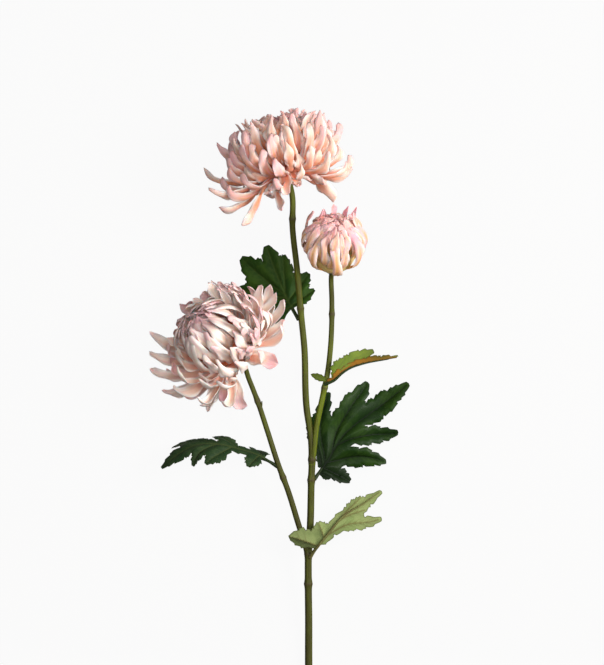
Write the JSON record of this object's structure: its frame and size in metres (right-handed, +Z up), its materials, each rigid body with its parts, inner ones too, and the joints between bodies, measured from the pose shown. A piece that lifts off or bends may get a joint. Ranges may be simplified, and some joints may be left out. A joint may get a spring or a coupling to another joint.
{
  "type": "chrysanthemum spray",
  "caption": "Cut, branching chrysanthemum stem lying on a surface, with open curled-petal blooms, a half-open young bloom and lobed green leaves.",
  "frame": {"origin": "middle of the box round the spray, on the surface that it lies on", "axes": "+Y along the main stem from the cut end to the top bloom, +Z up from the surface"},
  "size_m": [0.2028, 0.5028, 0.0925],
  "materials": {
    "petal": "soft matt petal, cream white shading to coral and pink",
    "stem_green": "ridged olive green stem",
    "calyx_green": "matt green",
    "leaf_green": "satin dark green leaf",
    "pale_green": "matt pale green leaf underside"
  },
  "bodies": {
    "root": {"stem": "stem_green", "top_bloom": "petal", "left_bloom": "petal", "young_bloom": "petal", "top_calyx": "calyx_green", "left_calyx": "calyx_green", "young_calyx": "calyx_green", "top_leaf": "leaf_green", "left_leaf": "leaf_green", "bract_leaf": "leaf_green", "right_leaf": "leaf_green", "low_leaf": "pale_green"}
  },
  "joints": []
}
